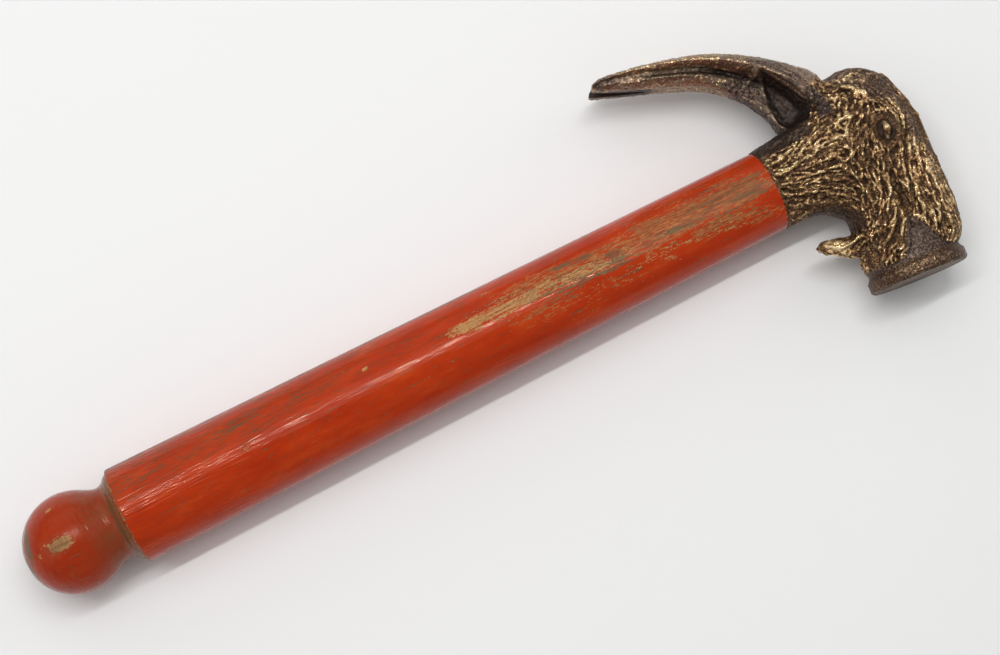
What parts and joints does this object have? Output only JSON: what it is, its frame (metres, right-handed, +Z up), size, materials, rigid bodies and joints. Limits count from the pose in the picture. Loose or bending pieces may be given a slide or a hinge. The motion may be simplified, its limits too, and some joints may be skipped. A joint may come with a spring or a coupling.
{
  "type": "claw hammer with an animal head",
  "caption": "Claw hammer with a cast brass goat's head: horns form the nail claw, mouth holds the striking poll, on a turned red-painted wooden handle with a ball pommel.",
  "frame": {"origin": "on the surface the hammer lies on, below the centre of its outline; the mid-plane of the head is level", "axes": "+X along the handle from the pommel to the goat's brow, +Y towards the horn tips with the striking face towards -Y, +Z up"},
  "size_m": [0.3317, 0.1099, 0.035],
  "materials": {
    "head_brass": "cast brass with dark brown patina, rubbed bright on the raised hair",
    "painted_wood": "turned wood in glossy orange-red paint, worn through to brown wood on the upper grip",
    "wedge_wood": "bare hardwood"
  },
  "bodies": {
    "root": {"goat_head": "head_brass", "handle": "painted_wood", "fox_wedge": "wedge_wood"}
  },
  "joints": []
}
